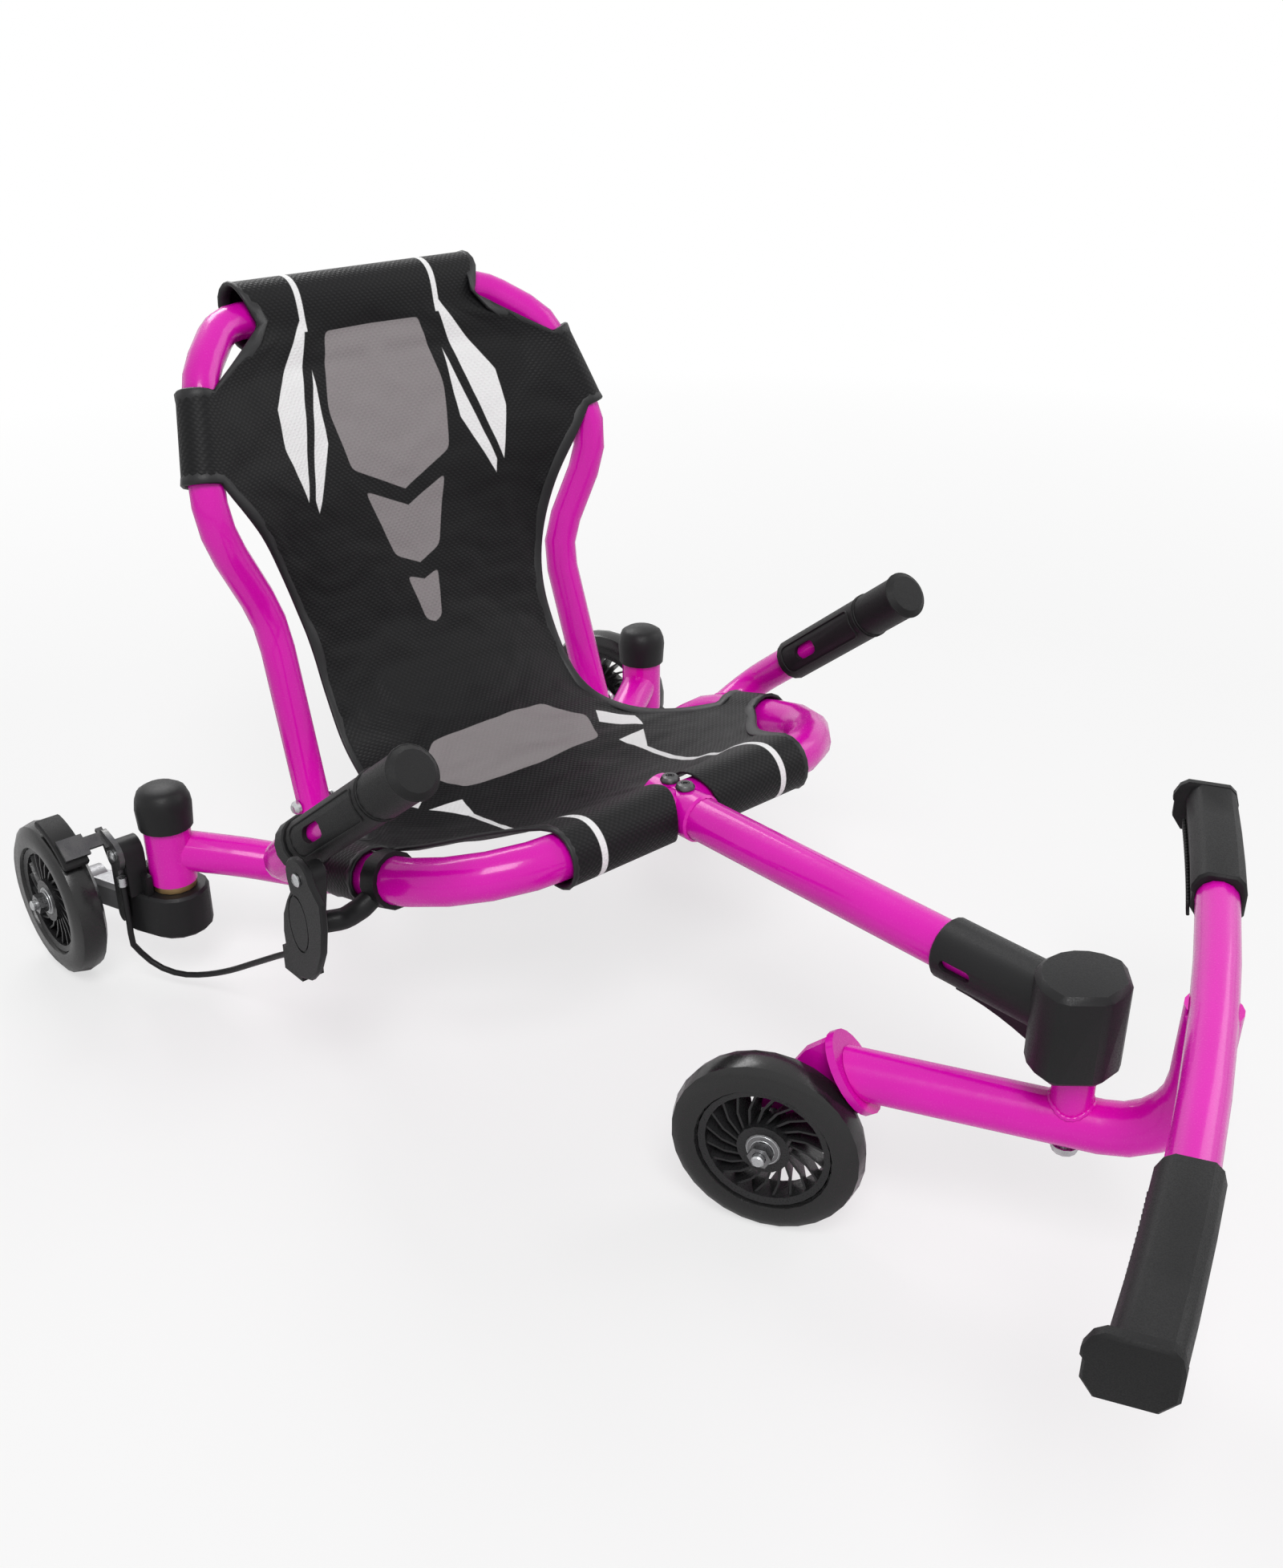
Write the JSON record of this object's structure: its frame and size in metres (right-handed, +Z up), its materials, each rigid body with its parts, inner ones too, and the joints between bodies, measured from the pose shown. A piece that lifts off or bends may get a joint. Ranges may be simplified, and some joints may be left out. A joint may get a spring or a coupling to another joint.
{
  "type": "sit-down scooter",
  "caption": "Low sit-down scooter with a cloth bucket seat on bent tubes, a foot-steered front wheel, two trailing caster wheels and a hand brake.",
  "frame": {"origin": "on the floor, in the middle of the bounding box seen from above", "axes": "+Z up, -Y is the way it rides, +X is the rider's left"},
  "size_m": [0.6076, 0.9474, 0.4753],
  "materials": {
    "pink_paint": "smooth gloss paint",
    "black_plastic": "fine-grained black plastic",
    "zinc_steel": "zinc plated",
    "oiled_bronze": "sintered bush",
    "woven_cloth": "woven, sewn into sleeves",
    "tyre_rubber": "cast dark grey tyre",
    "grey_casting": "cast, satin",
    "black_steel": "blackened"
  },
  "bodies": {
    "frame": {"seat_frame": "pink_paint", "left_outrigger": "pink_paint", "right_outrigger": "pink_paint", "backrest_tube": "pink_paint", "left_handle_tube": "pink_paint", "right_handle_tube": "pink_paint", "left_grip": "black_plastic", "right_grip": "black_plastic", "beam_saddle": "pink_paint", "front_beam": "pink_paint", "beam_screw_rear": "zinc_steel", "beam_screw_front": "zinc_steel", "elbow_housing": "black_plastic", "upper_pivot_bush": "oiled_bronze", "lower_pivot_bush": "oiled_bronze", "left_backrest_bolt": "zinc_steel", "right_backrest_bolt": "zinc_steel", "left_head_cap": "black_plastic", "right_head_cap": "black_plastic", "left_kingpin_bush": "oiled_bronze", "right_kingpin_bush": "oiled_bronze", "seat_cover": "woven_cloth", "brake_bracket": "black_plastic", "brake_collar": "black_plastic", "brake_lever_pin": "zinc_steel", "brake_cable": "black_plastic"},
    "steering_bar": {"swing_bar": "pink_paint", "pivot_post": "pink_paint", "pivot_bolt": "zinc_steel", "foot_bar": "pink_paint", "left_foot_peg": "black_plastic", "right_foot_peg": "black_plastic", "front_fork": "pink_paint", "front_axle": "zinc_steel", "front_axle_nut": "zinc_steel"},
    "front_wheel": {"front_tyre": "tyre_rubber", "front_hub": "black_plastic", "front_bearing": "zinc_steel"},
    "left_caster": {"left_caster_arm": "grey_casting", "left_caster_boot": "black_plastic", "left_kingpin": "zinc_steel", "left_axle": "zinc_steel", "left_axle_nut": "zinc_steel"},
    "left_wheel": {"left_tyre": "tyre_rubber", "left_hub": "black_plastic", "left_bearing": "zinc_steel"},
    "right_caster": {"right_caster_arm": "grey_casting", "right_caster_boot": "black_plastic", "right_kingpin": "zinc_steel", "right_axle": "zinc_steel", "right_axle_nut": "zinc_steel", "brake_arm_pin": "zinc_steel"},
    "right_wheel": {"right_tyre": "tyre_rubber", "right_hub": "black_plastic", "right_bearing": "zinc_steel"},
    "hand_lever": {"brake_lever": "black_plastic"},
    "wheel_brake": {"brake_arm": "black_steel", "brake_shoe": "black_plastic", "cable_anchor": "zinc_steel"}
  },
  "joints": [
    {"name": "swing_bar_pivot", "type": "hinge", "parent": "frame", "child": "steering_bar", "pos_m": [0.01091, -0.28967, 0.108], "axis": [0, 0, 1], "range_deg": [-73, 17]},
    {"name": "front_wheel_spin", "type": "hinge", "parent": "steering_bar", "child": "front_wheel", "pos_m": [-0.08474, -0.15026, 0.06], "axis": [0.8829, 0.4695, 0], "continuous": true},
    {"name": "left_caster_swivel", "type": "hinge", "parent": "frame", "child": "left_caster", "pos_m": [0.24191, 0.33063, 0.108], "axis": [0, 0, 1], "range_deg": [-47, 3]},
    {"name": "left_wheel_spin", "type": "hinge", "parent": "left_caster", "child": "left_wheel", "pos_m": [0.27321, 0.41705, 0.06], "axis": [0.9272, 0.3746, 0], "continuous": true},
    {"name": "right_caster_swivel", "type": "hinge", "parent": "frame", "child": "right_caster", "pos_m": [-0.22009, 0.33063, 0.108], "axis": [0, 0, 1], "range_deg": [-25, 25], "deforming": ["brake_cable"]},
    {"name": "right_wheel_spin", "type": "hinge", "parent": "right_caster", "child": "right_wheel", "pos_m": [-0.28149, 0.39903, 0.06], "axis": [1, 0, 0], "continuous": true},
    {"name": "brake_lever_hinge", "type": "hinge", "parent": "frame", "child": "hand_lever", "pos_m": [-0.23159, 0.11033, 0.184], "axis": [-1, 0, 0], "range_deg": [0, 15], "stiffness_Nm_per_rad": 1.2, "springref_deg": -2.86},
    {"name": "brake_arm_hinge", "type": "hinge", "parent": "right_caster", "child": "wheel_brake", "pos_m": [-0.25259, 0.34633, 0.108], "axis": [-1, 0, 0], "range_deg": [0, 2.5]}
  ],
  "couplings": [
    {"joint": "brake_arm_hinge", "follows": "brake_lever_hinge", "ratio": 0.1667}
  ]
}
